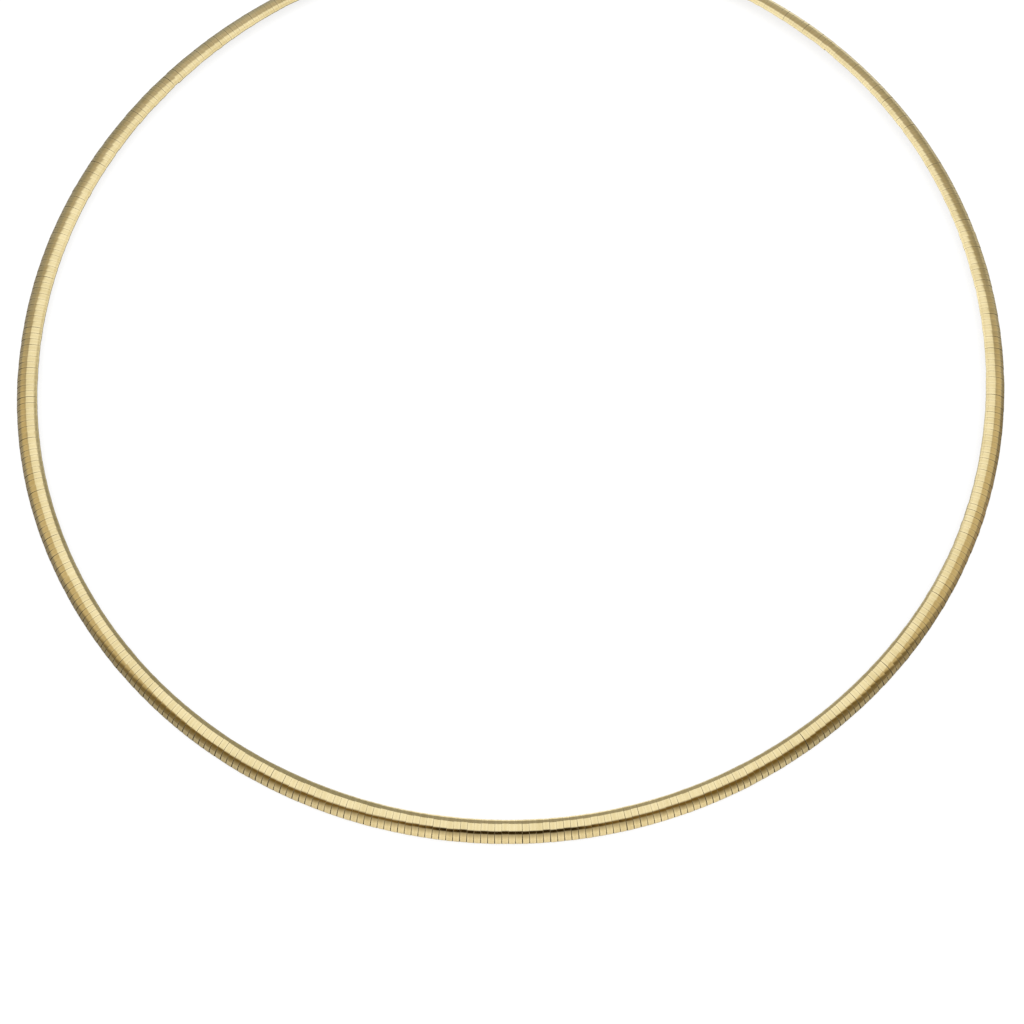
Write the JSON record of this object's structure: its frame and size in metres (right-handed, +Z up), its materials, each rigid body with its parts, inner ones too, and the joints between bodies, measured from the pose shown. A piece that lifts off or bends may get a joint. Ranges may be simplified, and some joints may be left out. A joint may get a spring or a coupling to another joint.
{
  "type": "omega chain choker",
  "caption": "Stiff round choker of narrow domed plates folded side by side round a flat woven core, closed by one plain clasp.",
  "frame": {"origin": "centre of the loop, on the level surface that the chain's outer edge rests on", "axes": "+Z up out of the loop, -Y toward the middle of the front, +Y toward the clasp, +X to the right seen from the front"},
  "size_m": [0.132, 0.132, 0.0026],
  "materials": {
    "plate_gold": "polished yellow gold",
    "core_gold": "woven yellow gold wire, satin",
    "clasp_gold": "polished yellow gold"
  },
  "bodies": {
    "root": {"plates_left": "plate_gold", "plates_right": "plate_gold", "woven_core": "core_gold", "clasp": "clasp_gold"}
  },
  "joints": []
}
